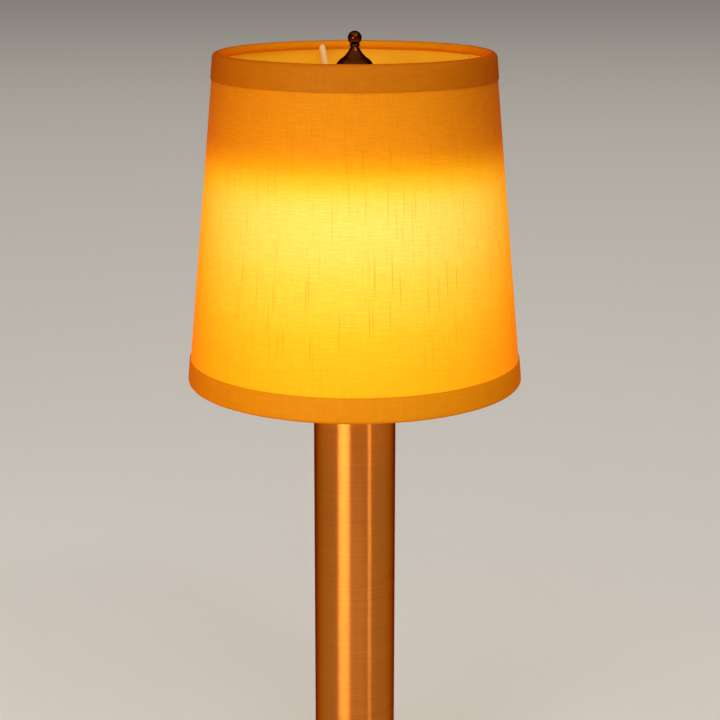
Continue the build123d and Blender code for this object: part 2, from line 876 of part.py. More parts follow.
with BuildPart() as black_leads:
    add(charge_lead(-1))
    add(battery_lead(-1, stack_bottom))
    add(light_lead(-1))
black_leads.part.label = "black_leads"
export_step(black_leads.part, "parts/black_leads.step")

# Shade: a tapered laminate of fabric on a stiff liner, between two wire rings
fabric_thickness = 0.4
liner_thickness = 0.45
ring_wire_diameter = 2.6
tape_thickness = 0.45
tape_outer_height = 11.5
tape_inner_height = 4.5
laminate_setback = 1.6

rim_level = hub_top + rim_over_hub
shade_level = rim_level - shade_height
ring_wire_radius = ring_wire_diameter / 2
liner_offset = fabric_thickness + glue_gap
liner_face = liner_offset + liner_thickness
ring_offset = liner_face + glue_gap + ring_wire_radius
ring_setback = tape_thickness + glue_gap + ring_wire_radius
tape_inner_offset = ring_offset + ring_wire_radius + glue_gap + tape_thickness


def shade_point(edge, toward, inset, depth):
    """A point of the shade's wall, a depth from one rim and an inset from the outer face."""
    level = edge + toward * depth
    drop_share = (rim_level - level) / shade_height
    spread = (shade_bottom_diameter - shade_top_diameter) / 2
    return (shade_top_diameter / 2 + spread * drop_share - inset, level)


def top_point(inset, depth):
    return shade_point(rim_level, -1, inset, depth)


def bottom_point(inset, depth):
    return shade_point(shade_level, 1, inset, depth)


def wall_outline(face, thickness, depth):
    """The section of a layer of the shade's wall, short of both rims by a depth."""
    return [
        bottom_point(face, depth),
        bottom_point(face + thickness, depth),
        top_point(face + thickness, depth),
        top_point(face, depth),
    ]


with BuildPart() as shade_fabric:
    with BuildSketch(Plane.XZ):
        with BuildLine():
            Polyline(*wall_outline(0, fabric_thickness, laminate_setback), close=True)
        make_face()
    revolve(axis=Axis.Z)
shade_fabric.part.label = "shade_fabric"
export_step(shade_fabric.part, "parts/shade_fabric.step")

with BuildPart() as shade_liner:
    with BuildSketch(Plane.XZ):
        with BuildLine():
            Polyline(*wall_outline(liner_offset, liner_thickness, laminate_setback), close=True)
        make_face()
    revolve(axis=Axis.Z)
shade_liner.part.label = "shade_liner"
export_step(shade_liner.part, "parts/shade_liner.step")

# Seam strip: the liner's overlap, a narrow band up the inside at the right rear
seam_angle = 35
seam_width = 8
seam_thickness = 0.3
seam_gap = 0.25

seam_inset = liner_face + seam_gap
mean_shade_radius = (shade_top_diameter + shade_bottom_diameter) / 4
seam_arc = degrees(seam_width / mean_shade_radius)
seam_start = radians(seam_angle - seam_arc / 2)
seam_plane = Plane(
    origin=(0, 0, 0),
    x_dir=(cos(seam_start), sin(seam_start), 0),
    z_dir=(sin(seam_start), -cos(seam_start), 0),
)

with BuildPart() as seam_strip:
    with BuildSketch(seam_plane):
        with BuildLine():
            Polyline(
                *wall_outline(seam_inset, seam_thickness, tape_inner_height + loose_gap),
                close=True,
            )
        make_face()
    revolve(axis=Axis.Z, revolution_arc=seam_arc)
seam_strip.part.label = "seam_strip"
export_step(seam_strip.part, "parts/seam_strip.step")


# Wire rings: they lie inside the liner's edges, and the tape rolls round them
def ring(point):
    """A closed wire ring through a point of the shade's section."""
    with BuildPart() as wire:
        with BuildSketch(Plane.XZ):
            with Locations(point(ring_offset, ring_setback)):
                Circle(ring_wire_radius)
        revolve(axis=Axis.Z)
    return wire.part


with BuildPart() as top_wire:
    add(ring(top_point))
top_wire.part.label = "top_wire"
export_step(top_wire.part, "parts/top_wire.step")

with BuildPart() as bottom_wire:
    add(ring(bottom_point))
bottom_wire.part.label = "bottom_wire"
export_step(bottom_wire.part, "parts/bottom_wire.step")

# Spider: a stamped hub on the rod and three wire arms. Each arm runs out level, turns up and
# is welded under the top ring.
hub_diameter = 24
arm_wire_diameter = 3
arm_count = 3
arm_angle = 105
arm_bend = 6
arm_rise_inset = 7
arm_end_share = 0.8

hub_radius = hub_diameter / 2
arm_level = hub_bottom + hub_thickness / 2
ring_radius, ring_level = top_point(ring_offset, ring_setback)
arm_slope = atan2(ring_level - arm_level, arm_rise_inset)
arm_end_gap = ring_wire_radius * arm_end_share
arm_tip = (
    ring_radius - arm_end_gap * cos(arm_slope),
    ring_level - arm_end_gap * sin(arm_slope),
)
arm_knee = (ring_radius - arm_rise_inset, arm_level)

with BuildPart() as spider_hub:
    with BuildSketch(Plane.XY.offset(hub_bottom)):
        Circle(hub_radius)
        Circle(rod_radius + loose_gap, mode=Mode.SUBTRACT)
    extrude(amount=hub_thickness)
spider_hub.part.label = "spider_hub"
export_step(spider_hub.part, "parts/spider_hub.step")


def arms(wire_diameter):
    """The three arms, or with a wider wire the openings that they need in the tape."""
    with BuildPart() as arm:
        with BuildLine(Plane.XZ):
            FilletPolyline((0, arm_level), arm_knee, arm_tip, radius=arm_bend)
        with BuildSketch(Plane.YZ):
            with Locations((0, arm_level)):
                Circle(wire_diameter / 2)
        sweep()
        with BuildSketch(Plane.XY.offset(arm_level - wire_diameter)):
            Circle(hub_radius + glue_gap)
        extrude(amount=2 * wire_diameter, mode=Mode.SUBTRACT)
    with BuildPart() as spokes:
        with PolarLocations(0, arm_count, arm_angle):
            add(arm.part)
    return spokes.part


with BuildPart() as spider_arms:
    add(arms(arm_wire_diameter))
    add(top_wire.part, mode=Mode.SUBTRACT)
spider_arms.part.label = "spider_arms"
export_step(spider_arms.part, "parts/spider_arms.step")


# Bias tapes: folded over each rim and its ring, and glued down outside and inside
def tape(point):
    """A tape round one rim, with room for the laminate's edge and the ring in it."""
    roll_depth = ring_setback
    with BuildPart() as band:
        with BuildSketch(Plane.XZ):
            with BuildLine():
                outer_leg = Line(point(0, tape_outer_height), point(-tape_thickness, tape_outer_height))
                outer_face = Line(outer_leg @ 1, point(-tape_thickness, roll_depth))
                crown = ThreePointArc(
                    outer_face @ 1,
                    point((tape_inner_offset - tape_thickness) / 2, 0),
                    point(tape_inner_offset, roll_depth),
                )
                inner_face = ThreePointArc(
                    crown @ 1,
                    point(tape_inner_offset - tape_thickness, roll_depth + ring_wire_radius),
                    point(liner_face, tape_inner_height),
                )
                Line(inner_face @ 1, point(0, tape_inner_height))
                Line(point(0, tape_inner_height), outer_leg @ 0)
            make_face()
            with BuildLine():
                Polyline(
                    point(-glue_gap, laminate_setback - glue_gap),
                    point(-glue_gap, tape_inner_height + overrun),
                    point(liner_face + glue_gap, tape_inner_height + overrun),
                    point(liner_face + glue_gap, laminate_setback - glue_gap),
                    close=True,
                )
            make_face(mode=Mode.SUBTRACT)
            with Locations(point(ring_offset, ring_setback)):
                Circle(ring_wire_radius + glue_gap, mode=Mode.SUBTRACT)
        revolve(axis=Axis.Z)
    return band.part


with BuildPart() as top_tape:
    add(tape(top_point))
    add(arms(arm_wire_diameter + 2 * glue_gap), mode=Mode.SUBTRACT)
top_tape.part.label = "top_tape"
export_step(top_tape.part, "parts/top_tape.step")

with BuildPart() as bottom_tape:
    add(tape(bottom_point))
bottom_tape.part.label = "bottom_tape"
export_step(bottom_tape.part, "parts/bottom_tape.step")

# Finial washer: thin copper, under the finial
with BuildPart() as finial_washer:
    with BuildSketch(Plane.XY.offset(hub_top)):
        Circle(seat_radius)
        Circle(rod_radius + loose_gap, mode=Mode.SUBTRACT)
    extrude(amount=finial_washer_thickness)
finial_washer.part.label = "finial_washer"
export_step(finial_washer.part, "parts/finial_washer.step")

# Finial: turned copper, a bell with a ridge round it, a beaded neck and a ball
ball_diameter = 6.2
bead_diameter = 4.6
skirt_height_share = 0.055
shoulder_radius_share = 0.895
shoulder_height_share = 0.205
ridge_radius_share = 0.675
ridge_height_share = 0.345
waist_radius_share = 0.37
waist_height_share = 0.48
neck_radius_share = 0.19
neck_height_share = 0.635

finial_radius = finial_diameter / 2
finial_top = finial_bottom + finial_height
ball_radius = ball_diameter / 2


def finial_point(radius_share, height_share):
    return (radius_share * finial_radius, finial_bottom + height_share * finial_height)


neck = finial_point(neck_radius_share, neck_height_share)
ball_level = finial_top - ball_radius
bead_top = (neck[0], ball_level - sqrt(ball_radius ** 2 - neck[0] ** 2))

with BuildPart() as finial:
    with BuildSketch(Plane.XZ):
        with BuildLine():
            Line((0, finial_bottom), (finial_radius, finial_bottom))
            Line((finial_radius, finial_bottom), finial_point(1, skirt_height_share))
            ThreePointArc(
                finial_point(1, skirt_height_share),
                finial_point(shoulder_radius_share, shoulder_height_share),
                finial_point(ridge_radius_share, ridge_height_share),
            )
            ThreePointArc(
                finial_point(ridge_radius_share, ridge_height_share),
                finial_point(waist_radius_share, waist_height_share),
                neck,
            )
            ThreePointArc(
                neck,
                (bead_diameter / 2, (neck[1] + bead_top[1]) / 2),
                bead_top,
            )
            ThreePointArc(bead_top, (ball_radius, ball_level), (0, finial_top))
            Line((0, finial_top), (0, finial_bottom))
        make_face()
    revolve(axis=Axis.Z)
    with BuildSketch(Plane.XY.offset(finial_bottom)):
        Circle(rod_radius + running_gap)
    extrude(amount=finial_bore_depth, mode=Mode.SUBTRACT)
finial.part.label = "finial"
export_step(finial.part, "parts/finial.step")
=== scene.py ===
import math

import bpy
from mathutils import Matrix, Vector


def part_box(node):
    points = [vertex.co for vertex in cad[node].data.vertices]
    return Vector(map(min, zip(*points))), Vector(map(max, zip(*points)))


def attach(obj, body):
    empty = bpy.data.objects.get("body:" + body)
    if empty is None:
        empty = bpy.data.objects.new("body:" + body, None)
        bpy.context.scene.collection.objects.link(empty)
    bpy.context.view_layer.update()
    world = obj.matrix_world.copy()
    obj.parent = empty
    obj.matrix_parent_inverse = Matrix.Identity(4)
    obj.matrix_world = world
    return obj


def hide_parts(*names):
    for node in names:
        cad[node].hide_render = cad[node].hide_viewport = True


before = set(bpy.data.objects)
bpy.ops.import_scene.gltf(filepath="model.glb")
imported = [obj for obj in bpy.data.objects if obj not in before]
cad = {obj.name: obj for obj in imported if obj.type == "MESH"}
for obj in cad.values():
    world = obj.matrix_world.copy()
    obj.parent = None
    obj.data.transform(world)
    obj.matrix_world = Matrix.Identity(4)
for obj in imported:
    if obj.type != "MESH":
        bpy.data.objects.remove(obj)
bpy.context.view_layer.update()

# Foot pad
# A moulded rubber ring, 2 mm thick, glued under the base plate so that the lamp can't slide.
# Its matt face has the fine texture of the mould.

mix_share = 0
mix_first = 6
mix_second = 7
mix_colour = 2


def fill(tree, node, inputs):
    """Set each input of a node, or link it where a socket is given."""
    for name, value in inputs.items():
        if isinstance(value, bpy.types.NodeSocket):
            tree.links.new(value, node.inputs[name])
        else:
            node.inputs[name].default_value = value


def add_node(tree, kind, inputs=None, **settings):
    """A new node with its settings made and its inputs filled."""
    made = tree.nodes.new(kind)
    for name, value in settings.items():
        setattr(made, name, value)
    fill(tree, made, inputs or {})
    return made


def mixed(tree, share, first, second, blend="MIX"):
    """The colour between two colours, by a share, or another blend of the two."""
    colours = [c if isinstance(c, bpy.types.NodeSocket) else (*c, 1) for c in (first, second)]
    inputs = {mix_share: share, mix_first: colours[0], mix_second: colours[1]}
    mix = add_node(tree, "ShaderNodeMix", inputs, data_type="RGBA", blend_type=blend)
    return mix.outputs[mix_colour]


def spread(tree, value, low, high, start=0, end=1):
    """A value between start and end, moved to the range from low to high."""
    inputs = {"Value": value, "From Min": start, "From Max": end, "To Min": low, "To Max": high}
    return add_node(tree, "ShaderNodeMapRange", inputs).outputs[0]


def counted(tree, operation, *values):
    """The result of one sum on plain values or sockets."""
    return add_node(tree, "ShaderNodeMath", dict(enumerate(values)), operation=operation).outputs[0]


def vector_counted(tree, operation, *vectors, result="Vector"):
    """The result of one sum on vectors: a vector, or a plain value."""
    inputs = dict(enumerate(vectors))
    return add_node(tree, "ShaderNodeVectorMath", inputs, operation=operation).outputs[result]


def new_group(name, inputs, outputs):
    """An empty shader group with its named inputs and outputs, and its two end nodes."""
    group = bpy.data.node_groups.new(name, "ShaderNodeTree")
    for label, value in inputs.items():
        kind = "NodeSocketVector" if isinstance(value, tuple) else "NodeSocketFloat"
        group.interface.new_socket(label, in_out="INPUT", socket_type=kind).default_value = value
    for label, kind in outputs.items():
        group.interface.new_socket(label, in_out="OUTPUT", socket_type=kind)
    given = group.nodes.new("NodeGroupInput").outputs
    result = group.nodes.new("NodeGroupOutput").inputs
    return group, given, result


def placed(tree, group, inputs=None):
    """The outputs of a shader group, placed in a material with its own values."""
    return add_node(tree, "ShaderNodeGroup", inputs, node_tree=group).outputs


def new_finish(name):
    """A material, its node tree and its Principled shader."""
    material = bpy.data.materials.new(name)
    material.use_nodes = True
    return material, material.node_tree, material.node_tree.nodes["Principled BSDF"]


def bumped(tree, height, depth):
    """A normal that follows a height from 0 to 1, over a depth in metres."""
    inputs = {"Height": height, "Distance": depth, "Strength": 1}
    return add_node(tree, "ShaderNodeBump", inputs).outputs[0]


def give(material, *pieces):
    """Cover CAD pieces with a finish."""
    for piece in pieces:
        for slot in cad[piece].material_slots:
            slot.material = material


slow_share = 0.12

mould_grain, given, result = new_group(
    "Mould grain",
    {"Scale": 1000.0, "Stretch": (1, 1, 1)},
    {"Tone": "NodeSocketFloat", "Height": "NodeSocketFloat"},
)
place = add_node(mould_grain, "ShaderNodeTexCoord").outputs["Object"]
stretched = vector_counted(mould_grain, "MULTIPLY", place, given["Stretch"])
slow = counted(mould_grain, "MULTIPLY", given["Scale"], slow_share)
fine_noise = add_node(
    mould_grain, "ShaderNodeTexNoise", {"Vector": stretched, "Scale": given["Scale"], "Detail": 3}
)
slow_noise = add_node(
    mould_grain, "ShaderNodeTexNoise", {"Vector": stretched, "Scale": slow, "Detail": 2}
)
mould_grain.links.new(slow_noise.outputs[0], result["Tone"])
mould_grain.links.new(fine_noise.outputs[0], result["Height"])


def moulded(name, light, dark, scale, rough, depth, metal=0.0, stretch=(1, 1, 1)):
    """A moulded, cast or plated finish: its tone, gloss and height all follow one grain."""
    material, tree, shader = new_finish(name)
    grain = placed(tree, mould_grain, {"Scale": scale, "Stretch": stretch})
    looks = {
        "Base Color": mixed(tree, grain["Tone"], dark, light),
        "Roughness": spread(tree, grain["Height"], *rough),
        "Normal": bumped(tree, grain["Height"], depth),
        "Metallic": metal,
    }
    fill(tree, shader, looks)
    return material


foot_rubber = moulded(
    "Foot rubber",
    light=(0.035, 0.034, 0.033),
    dark=(0.018, 0.018, 0.018),
    scale=2200,
    rough=(0.72, 0.9),
    depth=0.00006,
)
give(foot_rubber, "foot_pad")

# Base plate and its screws
# A stamped steel disc that closes the foot from below, held to the weight by three
# countersunk screws. Plate and screws are bright zinc-plated.

zinc_plate = moulded(
    "Zinc plate",
    light=(0.66, 0.66, 0.63),
    dark=(0.5, 0.51, 0.5),
    scale=700,
    rough=(0.26, 0.4),
    depth=0.00001,
    metal=1,
)
give(zinc_plate, "base_plate", "base_plate_screws")

# Base weight
# A grey iron casting that fills the foot under its cover and keeps the tall lamp upright. Its
# skin is rough, as it comes from the sand.

cast_iron = moulded(
    "Cast iron",
    light=(0.13, 0.13, 0.135),
    dark=(0.06, 0.06, 0.065),
    scale=900,
    rough=(0.62, 0.85),
    depth=0.00025,
    metal=0.6,
)
give(cast_iron, "base_weight")

# Charging socket and its board
# A drawn steel shell soldered to a small green board, which two screws hold at the rear. The
# control board under the weight has the same green resist and the same screws.

socket_steel = moulded(
    "Socket steel",
    light=(0.74, 0.74, 0.72),
    dark=(0.6, 0.6, 0.59),
    scale=1500,
    rough=(0.16, 0.28),
    depth=0.000005,
    metal=1,
)
give(socket_steel, "charge_socket")

board_green = moulded(
    "Board green",
    light=(0.03, 0.19, 0.075),
    dark=(0.018, 0.12, 0.05),
    scale=1300,
    rough=(0.32, 0.44),
    depth=0.00002,
)
give(board_green, "charge_board", "control_board")
give(zinc_plate, "charge_board_screws", "control_board_screws")

# Column flange
# A turned aluminium plug with a flange. The tube is pressed over it, and three screws hold
# it down on the weight. The tool left fine rings round it.

band_scale = 0.3
edge_tint_share = 0.4
quarter_turn = 0.25
streak_range = (0.55, 1.45)
line_range = (0.3, 0.7)


def split(tree, vector):
    """The three parts of a vector."""
    return add_node(tree, "ShaderNodeSeparateXYZ", {0: vector}).outputs


def joined(tree, *parts):
    """A vector from its parts."""
    return add_node(tree, "ShaderNodeCombineXYZ", dict(enumerate(parts))).outputs[0]


lathe_lines, given, result = new_group(
    "Lathe lines",
    {"Lines": 2500.0, "Wander": 40.0},
    {"Tone": "NodeSocketFloat", "Height": "NodeSocketFloat"},
)
place = add_node(lathe_lines, "ShaderNodeTexCoord").outputs["Object"]
x, y, z = split(lathe_lines, place)
across = vector_counted(lathe_lines, "LENGTH", joined(lathe_lines, x, y), result="Value")
along = counted(lathe_lines, "MULTIPLY", counted(lathe_lines, "ADD", across, z), given["Lines"])
wander_x = counted(lathe_lines, "MULTIPLY", x, given["Wander"])
wander_y = counted(lathe_lines, "MULTIPLY", y, given["Wander"])
track = joined(lathe_lines, wander_x, wander_y, along)
lines = add_node(
    lathe_lines,
    "ShaderNodeTexNoise",
    {"Vector": track, "Scale": 1, "Detail": 3, "Roughness": 0.8},
)
bands = add_node(
    lathe_lines,
    "ShaderNodeTexNoise",
    {"Vector": track, "Scale": band_scale, "Detail": 2, "Roughness": 0.6},
)
lathe_lines.links.new(bands.outputs[0], result["Tone"])
lathe_lines.links.new(lines.outputs[0], result["Height"])


def turned(name, light, dark, lines, rough, depth, streak):
    """A metal brushed round its axis, whose highlights draw out along the column."""
    material, tree, shader = new_finish(name)
    brushing = placed(tree, lathe_lines, {"Lines": lines})
    streaks = counted(tree, "ADD", brushing["Tone"], brushing["Height"])
    ring = add_node(tree, "ShaderNodeTangent", direction_type="RADIAL", axis="Z")
    looks = {
        "Base Color": mixed(tree, spread(tree, streaks, 0, 1, *streak_range), dark, light),
        "Roughness": spread(tree, brushing["Height"], *rough, *line_range),
        "Normal": bumped(tree, brushing["Height"], depth),
        "Metallic": 1,
        "Specular Tint": (*(edge_tint_share * tone for tone in dark), 1),
        "Anisotropic": streak,
        "Anisotropic Rotation": quarter_turn,
        "Tangent": ring.outputs[0],
    }
    fill(tree, shader, looks)
    return material


turned_aluminium = turned(
    "Turned aluminium",
    light=(0.78, 0.78, 0.79),
    dark=(0.66, 0.66, 0.67),
    lines=1800,
    rough=(0.22, 0.34),
    depth=0.000002,
    streak=0.5,
)
give(turned_aluminium, "column_flange", "led_post")
give(zinc_plate, "column_screws", "cradle_screws")

# Control board, push switch and button
# The charge and dimming circuit sits in a bay under the weight. Pressing the black button in
# the base plate pushes the switch's white plunger.

chip_black = moulded(
    "Chip black",
    light=(0.03, 0.03, 0.031),
    dark=(0.016, 0.016, 0.017),
    scale=1800,
    rough=(0.34, 0.5),
    depth=0.00002,
)
give(chip_black, "control_chips", "button_switch")

button_black = moulded(
    "Button black",
    light=(0.05, 0.05, 0.052),
    dark=(0.03, 0.03, 0.032),
    scale=2400,
    rough=(0.45, 0.62),
    depth=0.00003,
)
give(button_black, "power_button")

plunger_white = moulded(
    "Plunger white",
    light=(0.84, 0.83, 0.79),
    dark=(0.72, 0.71, 0.67),
    scale=1500,
    rough=(0.36, 0.5),
    depth=0.00001,
)
give(plunger_white, "switch_plunger")

# Base cover
# A copper dish spun over the weight and brushed round on the lathe, like the column.

brushed_copper = turned(
    "Brushed copper",
    light=(0.8, 0.25, 0.036),
    dark=(0.6, 0.17, 0.02),
    lines=3600,
    rough=(0.29, 0.37),
    depth=0.0000015,
    streak=1,
)
give(brushed_copper, "base_cover")

# Battery stack
# Two shrink-wrapped cells in a moulded cradle inside the column, joined by nickel tabs, with
# a foam pad that keeps them from rattling.

cradle_black = moulded(
    "Cradle black",
    light=(0.06, 0.06, 0.062),
    dark=(0.035, 0.035, 0.036),
    scale=1600,
    rough=(0.48, 0.64),
    depth=0.00004,
)
give(cradle_black, "battery_cradle")

cell_wrap = moulded(
    "Cell wrap",
    light=(0.05, 0.17, 0.38),
    dark=(0.03, 0.11, 0.27),
    scale=420,
    rough=(0.2, 0.32),
    depth=0.00002,
    stretch=(1, 1, 0.3),
)
give(cell_wrap, "battery_lower", "battery_upper")

nickel_strip = moulded(
    "Nickel strip",
    light=(0.68, 0.66, 0.61),
    dark=(0.55, 0.53, 0.49),
    scale=1400,
    rough=(0.26, 0.38),
    depth=0.000005,
    metal=1,
)
give(nickel_strip, "battery_tabs")

foam = moulded(
    "Foam",
    light=(0.06, 0.06, 0.06),
    dark=(0.025, 0.025, 0.025),
    scale=1500,
    rough=(0.9, 1),
    depth=0.0004,
)
give(foam, "battery_pad")

# Leads
# Silicone-covered wires, red and black, from the socket to the board, to the cells and up to
# the light.

lead_red = moulded(
    "Lead red",
    light=(0.5, 0.022, 0.018),
    dark=(0.36, 0.014, 0.012),
    scale=900,
    rough=(0.4, 0.55),
    depth=0.00002,
)
give(lead_red, "red_leads")

lead_black = moulded(
    "Lead black",
    light=(0.03, 0.03, 0.03),
    dark=(0.017, 0.017, 0.017),
    scale=900,
    rough=(0.4, 0.55),
    depth=0.00002,
)
give(lead_black, "black_leads")

# Column
# A 38 mm copper tube, brushed round, that stands on the flange and holds the battery. The plug
# in its top and the glare cap have the same finish.

give(brushed_copper, "body_tube", "head_plug", "head_cap")

# Light head
# A flexible strip of small lamps wrapped round an octagonal post, inside a frosted cover
# between the column's plug and the glare cap, which keeps the light off the shade's top.

strip_white = moulded(
    "Strip white",
    light=(0.86, 0.85, 0.8),
    dark=(0.75, 0.74, 0.69),
    scale=1200,
    rough=(0.42, 0.56),
    depth=0.00001,
)
give(strip_white, "led_flex")

lamp_colour = (1.0, 0.66, 0.26)
lamp_level = 0.302
lamp_reach = 0.022
chip_glow = 5
cover_glow = 2.6
cover_edge_share = 0.45

lit_chips, tree, shader = new_finish("Lit chips")
grain = placed(tree, mould_grain, {"Scale": 900})
looks = {
    "Base Color": mixed(tree, grain["Tone"], (0.9, 0.62, 0.16), (0.98, 0.76, 0.3)),
    "Emission Color": mixed(tree, grain["Tone"], (0.9, 0.55, 0.2), (1, 0.7, 0.32)),
    "Emission Strength": chip_glow,
}
fill(tree, shader, looks)
give(lit_chips, "led_chips")

frosted_cover, tree, shader = new_finish("Frosted cover")
level = split(tree, add_node(tree, "ShaderNodeTexCoord").outputs["Object"])[2]
off_lamp = counted(tree, "ABSOLUTE", counted(tree, "SUBTRACT", level, lamp_level))
brightness = spread(tree, off_lamp, 1, cover_edge_share, 0, lamp_reach)
grain = placed(tree, mould_grain, {"Scale": 1600})
looks = {
    "Base Color": mixed(tree, grain["Tone"], (0.86, 0.83, 0.76), (0.93, 0.91, 0.86)),
    "Roughness": spread(tree, grain["Height"], 0.5, 0.7),
    "Normal": bumped(tree, grain["Height"], depth=0.00002),
    "Emission Color": mixed(tree, brightness, (0, 0, 0), lamp_colour),
    "Emission Strength": cover_glow,
}
fill(tree, shader, looks)
give(frosted_cover, "led_cover")

# Rod, nuts, riser and shade seat
# A zinc-plated threaded rod ties the light head together and carries a polished copper
# riser, on whose turned seat the shade's carrier lies over a nylon washer.

give(zinc_plate, "centre_rod", "head_nut")

polished_copper = turned(
    "Polished copper",
    light=(0.66, 0.22, 0.045),
    dark=(0.52, 0.16, 0.03),
    lines=1200,
    rough=(0.1, 0.17),
    depth=0.0000005,
    streak=0.2,
)
give(polished_copper, "cap_nut", "riser_tube", "shade_seat")

nylon_white = moulded(
    "Nylon white",
    light=(0.84, 0.82, 0.76),
    dark=(0.74, 0.72, 0.66),
    scale=1400,
    rough=(0.38, 0.52),
    depth=0.00001,
)
give(nylon_white, "shade_washer")

# Shade carrier
# Two steel wire rings, and three arms that run from a stamped hub up to the top ring. They
# are welded together and enamelled cream.

cream_enamel = moulded(
    "Cream enamel",
    light=(0.8, 0.52, 0.22),
    dark=(0.72, 0.44, 0.17),
    scale=350,
    rough=(0.28, 0.4),
    depth=0.00002,
)
give(cream_enamel, "spider_hub", "spider_arms", "top_wire", "bottom_wire")

# Shade liner
# Stiff film behind the fabric, rolled to a cone and lapped under a narrow strip at the right
# rear. The lamp's light on it is painted as emission, bright below a painted shadow edge of
# the glare cap, with painted stray light on its inward faces. Its amber base colour is the
# lamp's warm light painted onto a pale film.

shade_top_radius = 0.0625
shade_bottom_radius = 0.0763
rim_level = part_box("top_tape")[1].z
hem_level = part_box("bottom_tape")[0].z
shade_height = rim_level - hem_level

liner_glow = 0.9
liner_stray_light = (0.12, 0.06, 0)
facing_inwards = -0.8
facing_outwards = 0.3
# Painted lamp glow up the shade, as shares of its height from the hem and emission colours:
# brightest near the lamp's height, then a painted shadow edge where the glare cap cuts it off.
glow_up_the_shade = [
    (0.0, (0.62, 0.4, 0.012)),
    (0.15, (0.65, 0.45, 0.03)),
    (0.28, (0.68, 0.6, 0.1)),
    (0.42, (0.72, 0.77, 0.31)),
    (0.52, (0.74, 0.87, 0.53)),
    (0.6, (0.74, 0.86, 0.5)),
    (0.65, (0.64, 0.7, 0.2)),
    (0.7, (0.42, 0.37, 0.025)),
    (0.75, (0.16, 0.1, 0.003)),
    (0.84, (0.035, 0.02, 0.0)),
    (1.0, (0.0, 0.0, 0.0)),
]

# The painted lamp glow: emission by height, and a mask of the inward faces that get painted stray
# light.
painted_lamp_glow, given, result = new_group(
    "Painted lamp glow", {"Strength": 1.0}, {"Glow": "NodeSocketColor", "Inside": "NodeSocketFloat"}
)
on_shade = add_node(painted_lamp_glow, "ShaderNodeTexCoord").outputs
level = split(painted_lamp_glow, on_shade["Object"])[2]
share_up = spread(painted_lamp_glow, level, 0, 1, hem_level, rim_level)
ramp = add_node(painted_lamp_glow, "ShaderNodeValToRGB", {0: share_up})
ramp.color_ramp.interpolation = "CARDINAL"
for height_share, colour in glow_up_the_shade[1:-1]:
    ramp.color_ramp.elements.new(height_share)
for stop, (height_share, colour) in zip(ramp.color_ramp.elements, glow_up_the_shade):
    stop.position = height_share
    stop.color = (*colour, 1)
glow = mixed(painted_lamp_glow, given["Strength"], (0, 0, 0), ramp.outputs[0])
flat_place = vector_counted(painted_lamp_glow, "MULTIPLY", on_shade["Object"], (1, 1, 0))
outward = vector_counted(painted_lamp_glow, "NORMALIZE", flat_place)
facing = vector_counted(painted_lamp_glow, "DOT_PRODUCT", on_shade["Normal"], outward, result="Value")
inside = spread(painted_lamp_glow, facing, 1, 0, facing_inwards, facing_outwards)
painted_lamp_glow.links.new(glow, result["Glow"])
painted_lamp_glow.links.new(inside, result["Inside"])


def with_stray_light(tree, lit, colour):
    """The painted lamp glow, with painted stray light added on the faces that look inward."""
    return mixed(tree, lit["Inside"], lit["Glow"], colour, "ADD")


liner_film, tree, shader = new_finish("Liner film")
grain = placed(tree, mould_grain, {"Scale": 500})
lit = placed(tree, painted_lamp_glow, {"Strength": liner_glow})
looks = {
    "Base Color": mixed(tree, grain["Tone"], (0.62, 0.3, 0.012), (0.74, 0.38, 0.02)),
    "Roughness": spread(tree, grain["Height"], 0.42, 0.6),
    "Normal": bumped(tree, grain["Height"], depth=0.00002),
    "Emission Color": with_stray_light(tree, lit, liner_stray_light),
    "Emission Strength": 1,
    "Specular IOR Level": 0.15,
}
fill(tree, shader, looks)
give(liner_film, "shade_liner", "seam_strip")

# Shade fabric
# Slubbed silk-look cloth laminated to the liner. Its fine ribs run round the shade, and
# thicker yarns show against the light as short dark strokes up and down. The lamp's light
# through it is painted as emission, with a painted shadow edge of the glare cap near its top.

fabric_thickness = 0.0004
fabric_lap = 0.008
fabric_unevenness = 0.0001
laminate_setback = 0.0016
wall_steps = 20
steps_around = 288
lap_angle = math.radians(35)
lap_ramp = 0.006
before_seam = 0.9999
same_point = 1e-6
crease_angle = math.radians(45)


def wall_point(edge, toward, inset, depth):
    """A point of the shade's wall, a depth from one rim and an inset from its outer face."""
    level = edge + toward * depth
    drop_share = (rim_level - level) / shade_height
    radius = shade_top_radius + (shade_bottom_radius - shade_top_radius) * drop_share
    return Vector((radius - inset, 0, level))


def outline_curve(name, points):
    """A closed outline of the wall's section, as a curve for the wrapping tree to read."""
    curve = bpy.data.curves.new(name, "CURVE")
    curve.dimensions = "3D"
    line = curve.splines.new("POLY")
    line.points.add(len(points))
    for spot, point in zip(line.points, [*points, points[0]]):
        spot.co = (*point, 1)
    holder = bpy.data.objects.new(name, curve)
    bpy.context.scene.collection.objects.link(holder)
    return holder


